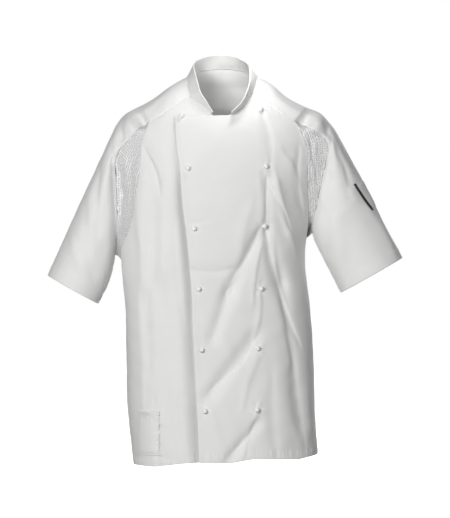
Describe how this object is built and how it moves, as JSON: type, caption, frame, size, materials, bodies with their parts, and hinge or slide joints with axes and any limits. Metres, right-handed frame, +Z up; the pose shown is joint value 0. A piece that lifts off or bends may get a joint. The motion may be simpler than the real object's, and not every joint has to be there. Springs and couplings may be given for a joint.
{
  "type": "chef jacket",
  "caption": "Short-sleeved double-breasted chef jacket in worn shape, hollow, with raglan sleeves, net gussets, stand collar, ball studs and two patch pockets.",
  "frame": {"origin": "at the base of the neck between the shoulders, where the wearer carries the jacket", "axes": "+Z up, the front faces -Y, the wearer's left is +X"},
  "size_m": [0.709, 0.2699, 0.8206],
  "materials": {
    "cotton": "matt woven twill",
    "net": "fine knitted net",
    "stud": "moulded, satin",
    "tape": "matt woven tape"
  },
  "bodies": {
    "root": {"front_right": "cotton", "front_left": "cotton", "back": "cotton", "sleeve_right": "cotton", "sleeve_left": "cotton", "collar": "cotton", "hip_pocket": "cotton", "pen_pocket": "cotton", "gusset_right": "net", "gusset_left": "net", "pen_binding": "tape", "stud_left_1": "stud", "stud_left_2": "stud", "stud_left_3": "stud", "stud_left_4": "stud", "stud_left_5": "stud", "stud_left_6": "stud", "stud_right_1": "stud", "stud_right_2": "stud", "stud_right_3": "stud", "stud_right_4": "stud", "stud_right_5": "stud", "stud_right_6": "stud"}
  },
  "joints": []
}
